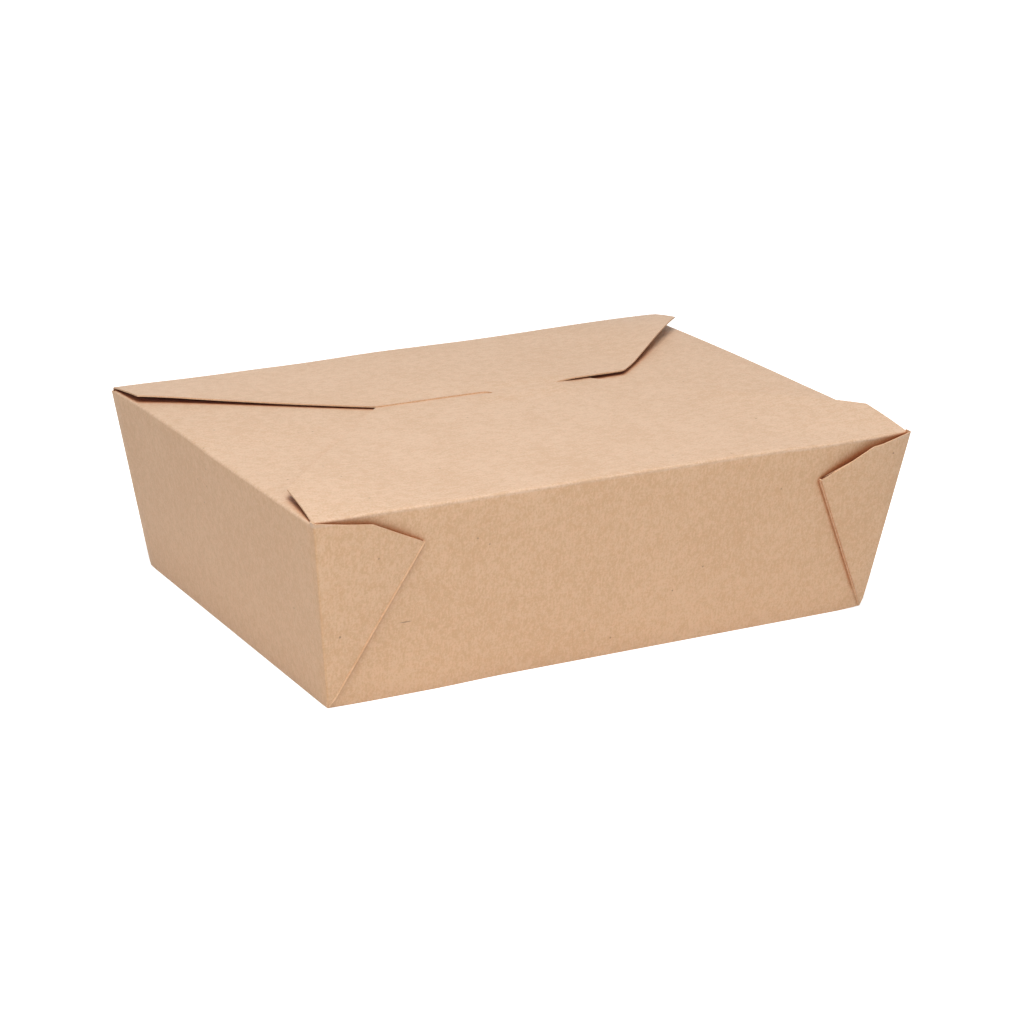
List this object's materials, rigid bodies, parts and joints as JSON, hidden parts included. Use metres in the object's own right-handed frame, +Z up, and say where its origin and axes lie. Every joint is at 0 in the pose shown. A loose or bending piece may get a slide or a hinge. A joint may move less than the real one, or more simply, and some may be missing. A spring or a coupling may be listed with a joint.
{
  "type": "folded takeaway box",
  "caption": "Folded kraft board food box with tapered walls, double corner webs, tucked end and front flaps, and a hinged locking flap with a tongue.",
  "frame": {"origin": "middle of the base's underside", "axes": "+X along the box to the right end, +Y from the front wall to the rear wall, +Z up"},
  "size_m": [0.2164, 0.1654, 0.0681],
  "materials": {
    "kraft_board": "matte uncoated kraft board with fine fibres",
    "kraft_flap": "matte uncoated kraft board with fine fibres"
  },
  "bodies": {
    "carton": {"carton": "kraft_board"},
    "locking_flap": {"locking_flap": "kraft_flap"}
  },
  "joints": [
    {"name": "locking_flap_hinge", "type": "hinge", "parent": "carton", "child": "locking_flap", "pos_m": [0, 0.08236, 0.06377], "axis": [-1, 0, 0], "range_deg": [0, 225]}
  ]
}
